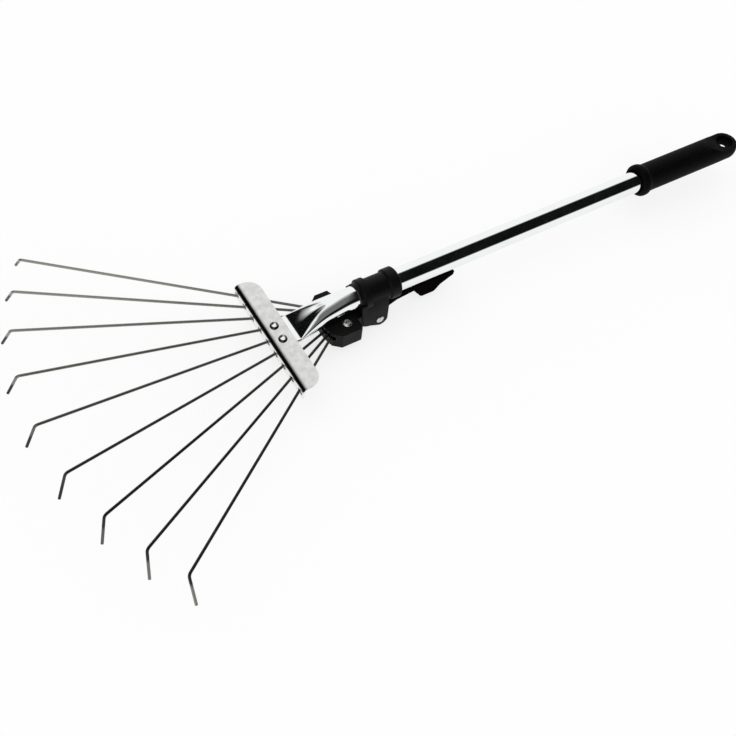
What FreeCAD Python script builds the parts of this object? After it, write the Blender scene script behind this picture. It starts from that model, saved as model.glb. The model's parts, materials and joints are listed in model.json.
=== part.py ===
import FreeCAD, Part
import math
import os
import re
import Sketcher

# Expanding fan rake. Millimetres. The handle tube runs along +X and its axis is the X axis,
# +Z is up with the tines pointing down, and the origin is the middle of the hang hole.
# Every piece is modelled in a frame of its own and placed from the same sizes.

TINES = 9
MIDDLE = (TINES + 1) // 2

SIZES = {
    "handle tube": {
        "tube_radius": 11.0,
        "tube_wall": 1.2,
        "press_slit": 0.4,
        "press_half_width": 16.0,
        "press_depth": 7.1,
        "press_end": 25.8,
        "waist_station": 51.8,
        "waist_half_width": 12.8,
        "waist_height": 18.0,
        "round_start": 79.8,
        "crease_half_width": 0.6,
        "hang_reach": 538.8,
        "tube_stop": 30.0,
    },
    "comb plate": {
        "comb_length": 131.6,
        "comb_depth": 21.3,
        "comb_sheet": 1.4,
        "comb_bend": 2.8,
        "comb_drop": 13.0,
        "comb_corner": 14.0,
        "comb_seat": 0.2,
        "slot_pitch": 15.14,
        "slot_width": 8.0,
        "slot_height": 5.2,
        "slot_drop": 7.45,
    },
    "comb rivets": {
        "rivet_setback": 11.0,
        "rivet_spacing": 16.4,
        "rivet_radius": 2.4,
        "rivet_head": 4.2,
        "rivet_rise": 1.8,
        "rivet_tail": 3.6,
        "rivet_tail_rise": 1.3,
        "fixed_fit": 0.02,
    },
    "tines": {
        "tine_radius": 1.3,
        "tine_run": 273.0,
        "tip_length": 27.0,
        "tip_angle": 69.5,
        "tip_bend": 4.0,
        "tip_splay": 6.5,
        "peg_length": 6.5,
        "peg_bend": 2.6,
        "root_pitch": 4.05,
        "root_depth": 17.9,
        "slot_lean": 0.025,
    },
    "slider": {
        "slider_station": 88.8,
        "slide_gap": 0.08,
        "sleeve_start": 0.8,
        "sleeve_length": 44.0,
        "sleeve_radius": 12.9,
        "lip_radius": 12.8,
        "lip_width": 4.0,
        "front_rim_radius": 15.0,
        "front_rim_width": 9.5,
        "rear_rim_radius": 14.8,
        "rear_rim_width": 12.0,
        "rim_slope": 1.6,
        "cheek_half_width": 15.5,
        "cheek_shoulder": 9.0,
        "cheek_corner": 8.3,
        "neck_depth": 24.0,
        "rib_half_width": 16.4,
        "rib_width": 6.0,
        "rib_lean": 3.0,
        "rib_depth": 27.0,
    },
    "tine holder": {
        "holder_front": 36.0,
        "holder_rear": 4.2,
        "holder_half_width": 26.9,
        "holder_top": 12.0,
        "nose_half_width": 10.0,
        "nose_slope": 2.6,
        "corner_long": 10.0,
        "corner_wide": 6.4,
        "rear_chamfer": 2.0,
        "rear_cut_long": 8.8,
        "rear_cut_wide": 15.0,
        "rear_cut_corner": 4.2,
        "root_setback": 30.0,
        "split_cover": 2.1,
        "base_cover": 10.9,
        "mouth_rise": 2.5,
        "mouth_back": 3.0,
        "peg_gap": 0.4,
        "peg_floor": 0.8,
    },
    "holder screws and nuts": {
        "screw_setback": 15.4,
        "screw_offset": 15.8,
        "screw_radius": 2.5,
        "screw_head": 4.4,
        "screw_rise": 2.6,
        "screw_fit": 0.1,
        "nut_flats": 8.0,
        "nut_height": 4.0,
        "nut_gap": 0.15,
    },
    "cam lever": {
        "pin_station": 21.0,
        "pin_depth": 27.2,
        "cam_throw": 1.5,
        "cam_heel": 5.2,
        "lever_half_width": 7.4,
        "lever_gap": 0.4,
        "lever_fit": 0.06,
        "arm_thick": 4.8,
        "arm_clear": 0.5,
        "lever_reach": 86.5,
        "tab_station": 41.3,
        "tab_clear": 1.6,
        "tab_tip": 4.2,
        "thumb_station": 50.9,
        "thumb_length": 14.9,
        "thumb_depth": 18.2,
        "thumb_round": 4.5,
    },
    "cam pin and clip": {
        "pin_radius": 2.5,
        "pin_head": 3.8,
        "pin_head_rise": 1.2,
        "pin_groove": 2.0,
        "pin_end": 1.0,
        "clip_radius": 4.6,
        "clip_thick": 0.8,
        "clip_gap": 0.1,
    },
    "brake shoe": {
        "shoe_thick": 3.4,
        "shoe_gap": 0.3,
        "shoe_side": 1.6,
        "shoe_reach": 10.4,
    },
    "hand grip": {
        "grip_reach": 119.3,
        "grip_radius": 14.3,
        "grip_fit": 0.03,
        "flange_radius": 16.4,
        "flange_width": 10.5,
        "flange_round": 3.5,
        "flange_dish": 3.0,
        "end_radius": 14.3,
        "tongue_half": 6.2,
        "ramp_start": 30.0,
        "ramp_end": 9.0,
        "hang_radius": 4.5,
        "recess_radius": 8.8,
        "recess_depth": 3.4,
    },
}

# Sizes that follow from the ones above, in the same words.
DERIVED = {
    "press_thick": "2*tube_wall + press_slit",
    "comb_top": "-(press_depth - comb_sheet)",
    "comb_station": "-hang_reach",
    "rivet_grip": "comb_sheet + press_thick",
    "waist_level": "waist_height/2 - tube_radius",
    "slot_level": "comb_top - slot_drop",
    "rest_pitch": "slot_pitch*(1 - slot_lean)",
    "fan_step": "rest_pitch - root_pitch",
    "fan_reach": "slider_station - root_setback - comb_sheet/2",
    "fan_rise": "root_depth + slot_level",
    "outer_step": "%d*fan_step" % (TINES - MIDDLE),
    "slider_place": "slider_station - hang_reach",
    "holder_split": "root_depth + split_cover",
    "holder_bottom": "root_depth + base_cover",
    "mouth_top": "root_depth - mouth_rise",
    "cheek_rear": "pin_station + cheek_corner",
    "cheek_bottom": "-(pin_depth + cheek_corner)",
    "cam_top": "tube_radius + shoe_thick + 2*shoe_gap",
    "cam_radius": "pin_depth - cam_top - cam_throw",
    "gap_half_width": "lever_half_width + lever_gap",
    "gap_front": "pin_station - cam_radius - lever_gap",
    "window_rear": "pin_station + shoe_reach",
    "arm_level": "-(sleeve_radius + arm_clear)",
    "mouth_half_width": "%d*root_pitch + (holder_front - root_setback)*outer_step/fan_reach"
                        " + 1.5*tine_radius" % (TINES - MIDDLE),
    "pin_shank": "cheek_half_width + clip_gap",
    "grip_bore": "tube_radius + grip_fit",
}

doc = FreeCAD.newDocument("fan_rake")
sheet = doc.addObject("Spreadsheet::Sheet", "sizes")


def fill_sheet():
    """One row per driving size: its name, its value under that name, and its group."""
    row = 1
    for group, sizes in SIZES.items():
        for name, value in sizes.items():
            sheet.set("A%d" % row, name)
            sheet.set("B%d" % row, str(value))
            sheet.setAlias("B%d" % row, name)
            sheet.set("C%d" % row, group)
            row += 1
    doc.recompute()


CELLS = {name for sizes in SIZES.values() for name in sizes}


def bind(text):
    """Turn a formula in plain size names into an expression on the sheet."""
    def word(match):
        name = match.group(0)
        if name in CELLS:
            return "sizes." + name
        if name in DERIVED:
            return "(" + bind(DERIVED[name]) + ")"
        return name
    return re.sub(r"[a-z_]+", word, str(text))


def number(text):
    """The value of a formula now."""
    value = sheet.evalExpression(bind(text))
    return float(getattr(value, "Value", value))


def point(x, y):
    return FreeCAD.Vector(number(x), number(y), 0)


# Sketches: every vertex, centre and radius is driven by a formula.

def new_body(label):
    body = doc.addObject("PartDesign::Body", label)
    body.Label = label
    return body


def place(piece, x, y="0", z="0", turn="rotation(0; 0; 0)"):
    formula = "placement(vector(%s; %s; %s); %s)" % (bind(x), bind(y), bind(z), bind(turn))
    piece.setExpression("Placement", formula)


def new_sketch(body, name, role, offset="0", roll="0"):
    """A sketch on one of the body's own origin planes, moved along its normal by offset."""
    sketch = body.newObject("Sketcher::SketchObject", name)
    plane = [feature for feature in body.Origin.OriginFeatures if feature.Role == role][0]
    sketch.AttachmentSupport = (plane, [""])
    sketch.MapMode = "FlatFace"
    formula = "placement(vector(0; 0; %s); rotation(0; 0; %s))" % (bind(offset), bind(roll))
    sketch.setExpression("AttachmentOffset", formula)
    return sketch


def fix_value(sketch, constraint, formula):
    index = sketch.addConstraint(constraint)
    sketch.setExpression("Constraints[%d]" % index, bind(formula))


def fix_point(sketch, shape, spot, x, y):
    """Hold a point of a sketch line, arc or circle at x, y from the sketch origin."""
    if x == "0":
        sketch.addConstraint(Sketcher.Constraint("PointOnObject", shape, spot, -2))
    else:
        held = Sketcher.Constraint("DistanceX", -1, 1, shape, spot, number(x))
        fix_value(sketch, held, x)
    if y == "0":
        sketch.addConstraint(Sketcher.Constraint("PointOnObject", shape, spot, -1))
    else:
        held = Sketcher.Constraint("DistanceY", -1, 1, shape, spot, number(y))
        fix_value(sketch, held, y)


def outline(sketch, corners):
    """A closed outline of straight lines through the corners."""
    count = len(corners)
    lines = []
    for index, corner in enumerate(corners):
        following = corners[(index + 1) % count]
        line = Part.LineSegment(point(*corner), point(*following))
        lines.append(sketch.addGeometry(line))
    for index, line in enumerate(lines):
        following = lines[(index + 1) % count]
        sketch.addConstraint(Sketcher.Constraint("Coincident", line, 2, following, 1))
        fix_point(sketch, line, 1, *corners[index])


def circle(sketch, x, y, radius):
    normal = FreeCAD.Vector(0, 0, 1)
    ring = sketch.addGeometry(Part.Circle(point(x, y), normal, number(radius)))
    fix_point(sketch, ring, 3, x, y)
    fix_value(sketch, Sketcher.Constraint("Radius", ring, number(radius)), radius)


def arc_shape(centre, radius, start, end):
    normal = FreeCAD.Vector(0, 0, 1)
    ring = Part.Circle(centre, normal, radius)
    return Part.ArcOfCircle(ring, math.radians(start), math.radians(end))


def oblong(sketch, x, y, length, height):
    """A slot outline: two half circles joined by two lines, centred at x, y."""
    radius = "(%s)/2" % height
    reach = "((%s) - (%s))/2" % (length, height)
    right_x = "(%s) + %s" % (x, reach)
    left_x = "(%s) - %s" % (x, reach)
    size = number(radius)
    up = FreeCAD.Vector(0, size, 0)
    right_centre = point(right_x, y)
    left_centre = point(left_x, y)
    right = sketch.addGeometry(arc_shape(right_centre, size, -90, 90))
    top = sketch.addGeometry(Part.LineSegment(right_centre + up, left_centre + up))
    left = sketch.addGeometry(arc_shape(left_centre, size, 90, 270))
    bottom = sketch.addGeometry(Part.LineSegment(left_centre - up, right_centre - up))
    for first, second in ((right, top), (top, left), (left, bottom), (bottom, right)):
        sketch.addConstraint(Sketcher.Constraint("Tangent", first, 2, second, 1))
    fix_point(sketch, right, 3, right_x, y)
    fix_point(sketch, left, 3, left_x, y)
    for end in (right, left):
        fix_value(sketch, Sketcher.Constraint("Radius", end, size), radius)


def creased_circle(sketch, radius, half_width):
    """A circle about the origin in four arcs: short ones at top and bottom, long ones beside."""
    size = number(radius)
    nick = math.degrees(math.asin(number(half_width) / size))
    spans = ((nick - 90, 90 - nick), (90 - nick, 90 + nick),
             (90 + nick, 270 - nick), (270 - nick, 270 + nick))
    arcs = [sketch.addGeometry(arc_shape(FreeCAD.Vector(), size, *span)) for span in spans]
    for arc in arcs:
        sketch.addConstraint(Sketcher.Constraint("Coincident", arc, 3, -1, 1))
    for first, second in zip(arcs, arcs[1:]):
        sketch.addConstraint(Sketcher.Constraint("Coincident", first, 2, second, 1))
    fix_value(sketch, Sketcher.Constraint("Radius", arcs[0], size), radius)
    held = ((arcs[0], 1, "+"), (arcs[0], 2, "+"), (arcs[1], 2, "-"), (arcs[2], 2, "-"),
            (arcs[3], 2, "+"))
    for arc, spot, sign in held:
        formula = "%s(%s)" % (sign, half_width)
        fix_value(sketch, Sketcher.Constraint("DistanceX", -1, 1, arc, spot, number(formula)),
                  formula)


# Features.

def pad(body, name, sketch, length, both_ways=False, backwards=False):
    feature = body.newObject("PartDesign::Pad", name)
    feature.Profile = sketch
    feature.SideType = "Symmetric" if both_ways else "One side"
    feature.Reversed = backwards
    feature.setExpression("Length", bind(length))
    doc.recompute()
    return feature


def pocket(body, name, sketch, length, both_ways=False, forwards=False):
    """Cut against the sketch's normal, or along it if forwards, and see that metal came off."""
    before = body.Shape.Volume
    feature = body.newObject("PartDesign::Pocket", name)
    feature.Profile = sketch
    feature.SideType = "Symmetric" if both_ways else "One side"
    feature.Reversed = forwards
    feature.setExpression("Length", bind(length))
    doc.recompute()
    if feature.Shape.Volume >= before:
        raise RuntimeError("%s cuts nothing" % name)
    return feature


def revolve(body, name, sketch, axis):
    feature = body.newObject("PartDesign::Revolution", name)
    feature.Profile = sketch
    feature.ReferenceAxis = (sketch, [axis])
    feature.Angle = 360
    doc.recompute()
    return feature


def loft(body, kind, name, first, second):
    feature = body.newObject(kind, name)
    feature.Profile = first
    feature.Sections = [(second, [""])]
    feature.Ruled = True
    doc.recompute()
    return feature


def pipe(body, name, profile, spine, edges):
    feature = body.newObject("PartDesign::AdditivePipe", name)
    feature.Profile = profile
    feature.Spine = (spine, ["Edge%d" % (index + 1) for index in range(edges)])
    doc.recompute()
    return feature


def round_edges(body, name, base, radius, chosen):
    """Round the edges of base whose midpoint passes the test."""
    names = []
    for index, edge in enumerate(base.Shape.Edges):
        middle = edge.valueAt((edge.FirstParameter + edge.LastParameter) / 2)
        if chosen(edge, middle):
            names.append("Edge%d" % (index + 1))
    feature = body.newObject("PartDesign::Fillet", name)
    feature.Base = (base, names)
    feature.setExpression("Radius", bind(radius))
    doc.recompute()
    return feature


def near(value, formula):
    return abs(value - number(formula)) < 1e-4


def along(edge, direction):
    """True for a straight edge parallel to one axis: 0 for X, 1 for Y, 2 for Z."""
    if edge.Curve.TypeId != "Part::GeomLine":
        return False
    return abs(abs(edge.Curve.Direction[direction]) - 1) < 1e-6


# Handle side: tube, comb plate, rivets and grip.

def make_tube():
    """Round tube whose front end is pressed flat and flares into a fishtail."""
    body = new_body("handle_tube")
    place(body, "comb_station")
    front = "comb_sheet + comb_bend + comb_seat"
    rear = "hang_reach - tube_stop"
    middle = "-(press_depth + press_thick/2)"

    flat = new_sketch(body, "tube_flat_section", "YZ_Plane", front)
    oblong(flat, "0", middle, "2*press_half_width", "press_thick")
    pad(body, "tube_flat", flat, "press_end - (%s)" % front)

    flat_end = new_sketch(body, "tube_flat_end", "YZ_Plane", "press_end")
    oblong(flat_end, "0", middle, "2*press_half_width", "press_thick")
    waist = new_sketch(body, "tube_waist", "YZ_Plane", "waist_station")
    oblong(waist, "0", "waist_level", "2*waist_half_width", "waist_height")
    loft(body, "PartDesign::AdditiveLoft", "tube_fishtail", flat_end, waist)

    waist_rear = new_sketch(body, "tube_waist_rear", "YZ_Plane", "waist_station")
    oblong(waist_rear, "0", "waist_level", "2*waist_half_width", "waist_height")
    round_front = new_sketch(body, "tube_round_front", "YZ_Plane", "round_start")
    creased_circle(round_front, "tube_radius", "crease_half_width")
    loft(body, "PartDesign::AdditiveLoft", "tube_shoulder", waist_rear, round_front)

    round_section = new_sketch(body, "tube_round_section", "YZ_Plane", "round_start")
    circle(round_section, "0", "0", "tube_radius")
    pad(body, "tube_round", round_section, "%s - round_start" % rear)

    bore = new_sketch(body, "tube_bore_section", "YZ_Plane", "round_start")
    circle(bore, "0", "0", "tube_radius - tube_wall")
    pocket(body, "tube_bore", bore, "%s - round_start" % rear, forwards=True)

    slit = new_sketch(body, "tube_slit_section", "YZ_Plane", "press_end")
    oblong(slit, "0", middle, "2*(press_half_width - tube_wall)", "press_slit")
    inner_waist = new_sketch(body, "tube_waist_inside", "YZ_Plane", "waist_station")
    oblong(inner_waist, "0", "waist_level", "2*(waist_half_width - tube_wall)",
           "waist_height - 2*tube_wall")
    loft(body, "PartDesign::SubtractiveLoft", "tube_fishtail_inside", slit, inner_waist)

    inner_rear = new_sketch(body, "tube_waist_inside_rear", "YZ_Plane", "waist_station")
    oblong(inner_rear, "0", "waist_level", "2*(waist_half_width - tube_wall)",
           "waist_height - 2*tube_wall")
    bore_front = new_sketch(body, "tube_bore_front", "YZ_Plane", "round_start")
    creased_circle(bore_front, "tube_radius - tube_wall", "crease_half_width")
    loft(body, "PartDesign::SubtractiveLoft", "tube_shoulder_inside", inner_rear, bore_front)

    cut_rivet_holes(body, "tube_rivet_holes")
    return body


def cut_rivet_holes(body, name):
    holes = new_sketch(body, name + "_section", "XY_Plane")
    for side in ("+", "-"):
        circle(holes, "rivet_setback", side + "rivet_spacing/2", "rivet_radius + fixed_fit")
    pocket(body, name, holes, "4*press_depth", both_ways=True)


def make_comb():
    """Sheet angle: flat top, round back corners, folded front with a slot for each tine."""
    body = new_body("comb_plate")
    place(body, "comb_station")
    section = new_sketch(body, "comb_section", "XZ_Plane")
    lip_bottom = "comb_top - comb_drop"
    outline(section, [("0", "comb_top"), ("comb_depth", "comb_top"),
                      ("comb_depth", "-press_depth"), ("comb_sheet", "-press_depth"),
                      ("comb_sheet", lip_bottom), ("0", lip_bottom)])
    sheet_angle = pad(body, "comb_angle", section, "comb_length", both_ways=True)

    outer = round_edges(
        body, "comb_bend_outside", sheet_angle, "comb_bend + comb_sheet",
        lambda edge, at: along(edge, 1) and near(at.x, "0") and near(at.z, "comb_top"))
    inner = round_edges(
        body, "comb_bend_inside", outer, "comb_bend",
        lambda edge, at: along(edge, 1) and near(at.x, "comb_sheet") and near(at.z, "-press_depth"))
    round_edges(
        body, "comb_corners", inner, "comb_corner",
        lambda edge, at: along(edge, 2) and near(at.x, "comb_depth"))

    slots = new_sketch(body, "comb_slot_section", "YZ_Plane")
    for tine in range(1, TINES + 1):
        oblong(slots, "%d*slot_pitch" % (tine - MIDDLE), "slot_level", "slot_width", "slot_height")
    pocket(body, "comb_slots", slots, "2*comb_sheet", forwards=True)
    cut_rivet_holes(body, "comb_rivet_holes")
    return body


def make_group(label, pieces):
    """Several like pieces that share one node."""
    group = doc.addObject("Part::Compound", label)
    group.Label = label
    group.Links = pieces
    doc.recompute()
    return group


def make_rivets():
    """Domed rivets through the comb plate and the tube's flat end."""
    rivets = []
    for name, side in (("rivet_left", "-"), ("rivet_right", "+")):
        body = new_body(name)
        place(body, "comb_station + rivet_setback", side + "rivet_spacing/2", "comb_top")
        section = new_sketch(body, name + "_section", "XZ_Plane")
        tail = "-(rivet_grip + rivet_tail_rise)"
        outline(section, [("0", "rivet_rise"), ("0.5*rivet_head", "0.88*rivet_rise"),
                          ("0.85*rivet_head", "0.5*rivet_rise"), ("rivet_head", "0"),
                          ("rivet_radius", "0"), ("rivet_radius", "-rivet_grip"),
                          ("rivet_tail", "-rivet_grip"), ("0.7*rivet_tail", tail), ("0", tail)])
        revolve(body, name + "_turned", section, "V_Axis")
        rivets.append(body)
    return make_group("comb_rivets", rivets)


def make_grip():
    """Soft sleeve over the tube's rear end: dished flange in front, flat tongue with a hole."""
    body = new_body("hand_grip")
    place(body, "0")
    section = new_sketch(body, "grip_section", "XZ_Plane")
    flange_rear = "flange_width - grip_reach"
    outline(section, [("flange_dish - grip_reach", "0"), ("flange_dish - grip_reach", "grip_bore"),
                      ("-grip_reach", "flange_radius - flange_round"),
                      ("0.4*flange_round - grip_reach", "flange_radius - 0.3*flange_round"),
                      ("flange_round - grip_reach", "flange_radius"),
                      ("%s - 0.5*flange_round" % flange_rear, "flange_radius"),
                      (flange_rear, "grip_radius"), ("0", "end_radius"), ("0", "0")])
    revolve(body, "grip_turned", section, "H_Axis")

    ball = body.newObject("PartDesign::AdditiveSphere", "grip_end")
    ball.setExpression("Radius", bind("end_radius"))
    doc.recompute()

    beyond = "end_radius + flange_round"
    for name, side in (("grip_upper_flat", "+"), ("grip_lower_flat", "-")):
        wedge = new_sketch(body, name + "_section", "XZ_Plane")
        outline(wedge, [("-ramp_start", side + "end_radius"), ("-ramp_end", side + "tongue_half"),
                        (beyond, side + "tongue_half"), (beyond, side + "2*end_radius"),
                        ("-ramp_start", side + "2*end_radius")])
        pocket(body, name, wedge, "4*end_radius", both_ways=True)

    for name, level, forwards in (("grip_upper_recess", "tongue_half", False),
                                  ("grip_lower_recess", "-tongue_half", True)):
        recess = new_sketch(body, name + "_section", "XY_Plane", level)
        circle(recess, "0", "0", "recess_radius")
        pocket(body, name, recess, "recess_depth", forwards=forwards)

    hole = new_sketch(body, "grip_hang_hole_section", "XY_Plane")
    circle(hole, "0", "0", "hang_radius")
    pocket(body, "grip_hang_hole", hole, "4*tongue_half", both_ways=True)

    bore = new_sketch(body, "grip_bore_section", "YZ_Plane", "-grip_reach")
    circle(bore, "0", "0", "grip_bore")
    pocket(body, "grip_bore", bore, "grip_reach - tube_stop", forwards=True)
    return body


# Slider side: slider body, holder base, fasteners, cam lever, pin, clip and brake shoe.
# Their frame has its origin on the tube's axis at the sleeve's front end.

def holder_plan(sketch):
    """Plan outline that both halves of the tine holder share, blunt nose in front.

    The right rear corner is cut back at a slant, the left one only chamfered.
    """
    nose = [("-holder_front", "nose_half_width"),
            ("nose_slope - holder_front", "holder_half_width - corner_wide"),
            ("corner_long - holder_front", "holder_half_width")]
    left_nose = [(x, "-(%s)" % y) for x, y in reversed(nose)]
    right_rear = [("-(holder_rear + rear_cut_long)", "holder_half_width"),
                  ("0.4*rear_cut_corner - holder_rear - rear_cut_long",
                   "holder_half_width - rear_cut_corner"),
                  ("-holder_rear", "holder_half_width - rear_cut_wide")]
    left_rear = [("-holder_rear", "rear_chamfer - holder_half_width"),
                 ("-(holder_rear + rear_chamfer)", "-holder_half_width")]
    outline(sketch, nose + right_rear + left_rear + left_nose)


def cut_screw_holes(body, name):
    holes = new_sketch(body, name + "_section", "XY_Plane")
    for side in ("+", "-"):
        circle(holes, "-screw_setback", side + "screw_offset", "screw_radius + screw_fit")
    pocket(body, name, holes, "4*holder_bottom", both_ways=True)


def shoulder(body, name, top, bottom, length):
    """A block whose sides lean out from the sleeve's side to the cheek's side below."""
    section = new_sketch(body, name + "_section", "YZ_Plane")
    outline(section, [("-(%s)" % top, "0"), (top, "0"), (bottom, "-cheek_shoulder"),
                      ("-(%s)" % bottom, "-cheek_shoulder")])
    pad(body, name, section, length)


def make_slider():
    """Sleeve on the tube, cheeks for the cam pin below it, upper half of the tine holder."""
    body = new_body("slider_body")
    place(body, "slider_place")
    cheeks = new_sketch(body, "cheek_section", "XZ_Plane")
    outline(cheeks, [("-holder_rear", "-holder_top"), ("0", "-holder_top"),
                     ("0", "-cheek_shoulder"), ("cheek_rear", "-cheek_shoulder"),
                     ("cheek_rear", "cheek_bottom"), ("pin_station", "cheek_bottom"),
                     ("-holder_rear", "-neck_depth")])
    block = pad(body, "cheek_block", cheeks, "2*cheek_half_width", both_ways=True)
    round_edges(
        body, "cheek_corners", block, "0.9*cheek_corner",
        lambda edge, at: along(edge, 1) and near(at.x, "cheek_rear") and near(at.z, "cheek_bottom"))
    shoulder(body, "cheek_shoulders", "sleeve_radius", "cheek_half_width", "cheek_rear")

    ribs = new_sketch(body, "rib_section", "XZ_Plane")
    outline(ribs, [("0", "-cheek_shoulder"), ("rib_width", "-cheek_shoulder"),
                   ("rib_lean + rib_width", "-(rib_depth + 0.4*rib_width)"),
                   ("rib_lean", "-rib_depth")])
    pad(body, "front_ribs", ribs, "2*rib_half_width", both_ways=True)
    shoulder(body, "rib_shoulders", "front_rim_radius", "rib_half_width", "rib_width")

    plan = new_sketch(body, "upper_holder_plan", "XY_Plane", "-holder_split")
    holder_plan(plan)
    pad(body, "upper_holder", plan, "holder_split - holder_top")

    section = new_sketch(body, "sleeve_section", "XZ_Plane")
    rim_end = "lip_width + front_rim_width"
    rear_rim = "sleeve_length - rear_rim_width"
    outline(section, [("sleeve_start", "0"), ("sleeve_start", "lip_radius"),
                      ("lip_width", "lip_radius"),
                      ("lip_width + rim_slope", "front_rim_radius"),
                      ("%s - rim_slope" % rim_end, "front_rim_radius"),
                      (rim_end, "sleeve_radius"), (rear_rim, "sleeve_radius"),
                      ("%s + rim_slope" % rear_rim, "rear_rim_radius"),
                      ("sleeve_length - rim_slope", "rear_rim_radius"),
                      ("sleeve_length", "sleeve_radius"), ("sleeve_length", "0")])
    revolve(body, "sleeve", section, "H_Axis")

    bore = new_sketch(body, "sleeve_bore_section", "YZ_Plane")
    circle(bore, "0", "0", "tube_radius + slide_gap")
    pocket(body, "sleeve_bore", bore, "2*sleeve_length", forwards=True)

    gap = new_sketch(body, "lever_gap_section", "XZ_Plane")
    past_rear = "sleeve_length + sleeve_radius"
    past_bottom = "cheek_bottom - cheek_corner"
    outline(gap, [("gap_front", "-tube_radius/2"), ("window_rear", "-tube_radius/2"),
                  ("window_rear", "arm_level"), (past_rear, "arm_level"),
                  (past_rear, past_bottom), ("gap_front", past_bottom)])
    pocket(body, "lever_gap", gap, "2*gap_half_width", both_ways=True)

    mouth = new_sketch(body, "mouth_plan", "XY_Plane", "-holder_split")
    mouth_rear = "mouth_back - root_setback"
    past_front = "-2*holder_front"
    outline(mouth, [(past_front, "mouth_half_width"), (mouth_rear, "mouth_half_width"),
                    (mouth_rear, "-mouth_half_width"), (past_front, "-mouth_half_width")])
    pocket(body, "mouth", mouth, "holder_split - mouth_top", forwards=True)

    cut_screw_holes(body, "upper_screw_holes")
    pin_hole = new_sketch(body, "cheek_pin_section", "XZ_Plane")
    circle(pin_hole, "pin_station", "-pin_depth", "pin_radius + fixed_fit")
    pocket(body, "cheek_pin_hole", pin_hole, "4*cheek_half_width", both_ways=True)
    return body


def make_base():
    """Lower half of the tine holder: a socket for each tine's peg, pockets for the nuts."""
    body = new_body("holder_base")
    place(body, "slider_place")
    plan = new_sketch(body, "base_plan", "XY_Plane", "-holder_split")
    holder_plan(plan)
    pad(body, "base_block", plan, "holder_bottom - holder_split", backwards=True)

    sockets = new_sketch(body, "socket_plan", "XY_Plane", "-holder_split")
    for tine in range(1, TINES + 1):
        across = "0" if tine == MIDDLE else "%d*root_pitch" % (tine - MIDDLE)
        circle(sockets, "-root_setback", across, "tine_radius + peg_gap")
    pocket(body, "sockets", sockets, "root_depth + peg_length + peg_floor - holder_split")

    cut_screw_holes(body, "base_screw_holes")
    nuts = new_sketch(body, "nut_pocket_plan", "XY_Plane", "-holder_bottom")
    for side in ("+", "-"):
        hexagon(nuts, "-screw_setback", side + "screw_offset", "nut_flats + 2*nut_gap")
    pocket(body, "nut_pockets", nuts, "nut_height", forwards=True)
    return body


def hexagon(sketch, x, y, flats):
    corners = []
    for step in range(6):
        corners.append(("%s + (%s)/sqrt(3)*cos(%d)" % (x, flats, 60 * step),
                        "%s + (%s)/sqrt(3)*sin(%d)" % (y, flats, 60 * step)))
    outline(sketch, corners)


def make_screws():
    screws = []
    for name, side in (("screw_left", "-"), ("screw_right", "+")):
        body = new_body(name)
        place(body, "slider_place - screw_setback", side + "screw_offset", "-holder_top")
        section = new_sketch(body, name + "_section", "XZ_Plane")
        shank_end = "holder_top - holder_bottom + shoe_gap"
        outline(section, [("0", "screw_rise"), ("0.65*screw_head", "screw_rise"),
                          ("screw_head", "0.45*screw_rise"), ("screw_head", "0"),
                          ("screw_radius", "0"), ("screw_radius", shank_end), ("0", shank_end)])
        revolve(body, name + "_turned", section, "V_Axis")
        cross = new_sketch(body, name + "_cross_section", "XY_Plane", "screw_rise")
        arm = "0.45*screw_head"
        half = "0.09*screw_head"
        outline(cross, [(arm, half), (half, half), (half, arm), ("-(%s)" % half, arm),
                        ("-(%s)" % half, half), ("-(%s)" % arm, half),
                        ("-(%s)" % arm, "-(%s)" % half), ("-(%s)" % half, "-(%s)" % half),
                        ("-(%s)" % half, "-(%s)" % arm), (half, "-(%s)" % arm),
                        (half, "-(%s)" % half), (arm, "-(%s)" % half)])
        pocket(body, name + "_cross", cross, "0.6*screw_rise")
        screws.append(body)
    return make_group("holder_screws", screws)


def make_nuts():
    nuts = []
    for name, side in (("nut_left", "-"), ("nut_right", "+")):
        body = new_body(name)
        place(body, "slider_place - screw_setback", side + "screw_offset", "-holder_bottom")
        plan = new_sketch(body, name + "_plan", "XY_Plane")
        hexagon(plan, "0", "0", "nut_flats")
        circle(plan, "0", "0", "screw_radius + fixed_fit")
        pad(body, name + "_block", plan, "nut_height")
        nuts.append(body)
    return make_group("holder_nuts", nuts)


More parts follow.
